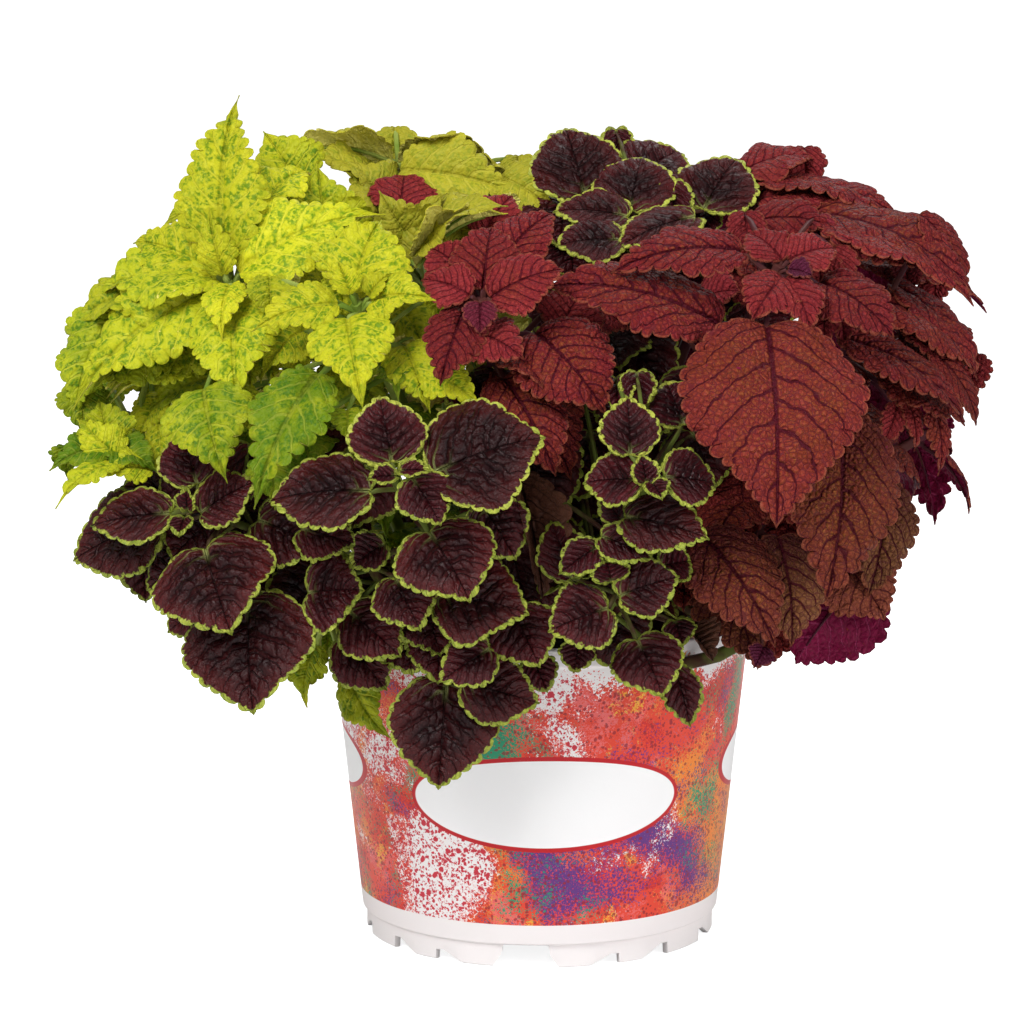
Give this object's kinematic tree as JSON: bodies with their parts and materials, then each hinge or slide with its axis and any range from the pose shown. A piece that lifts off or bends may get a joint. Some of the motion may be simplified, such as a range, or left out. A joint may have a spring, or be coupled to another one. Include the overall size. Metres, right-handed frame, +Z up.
{
  "type": "potted coleus trio",
  "caption": "Bushy potted coleus: lime, lime-edged burgundy and brick-red leafy stems in a round, slightly tapered plastic nursery pot filled with potting mix.",
  "frame": {"origin": "on the pot's axis, in the plane of its foot ring's underside", "axes": "+Z up along the pot's axis, -Y towards the front, where the tall lime leaves stand on the left"},
  "size_m": [0.3713, 0.287, 0.3422],
  "materials": {
    "pot_plastic": "satin white with a printed speckled band",
    "potting_mix": "loose and crumbly",
    "lime_leaf": "soft satin, quilted between the veins",
    "dark_leaf": "soft satin with a lime edge",
    "red_leaf": "soft satin, quilted between the veins"
  },
  "bodies": {
    "root": {"pot": "pot_plastic", "soil": "potting_mix", "lime_left": "lime_leaf", "lime_mid": "lime_leaf", "lime_side": "lime_leaf", "lime_back": "lime_leaf", "lime_rim": "lime_leaf", "dark_left": "dark_leaf", "dark_mid": "dark_leaf", "dark_low": "dark_leaf", "dark_rim": "dark_leaf", "dark_right": "dark_leaf", "dark_knot": "dark_leaf", "dark_top": "dark_leaf", "red_left": "red_leaf", "red_right": "red_leaf", "red_back": "red_leaf", "red_side": "red_leaf", "red_front": "red_leaf", "red_low": "red_leaf", "lime_rear_high": "lime_leaf", "lime_rear_mid": "lime_leaf", "lime_flank": "lime_leaf", "dark_rear": "dark_leaf", "dark_rear_left": "dark_leaf", "dark_rear_right": "dark_leaf", "red_rear_high": "red_leaf", "red_rear_mid": "red_leaf", "red_flank": "red_leaf", "dark_crown": "dark_leaf"}
  },
  "joints": []
}
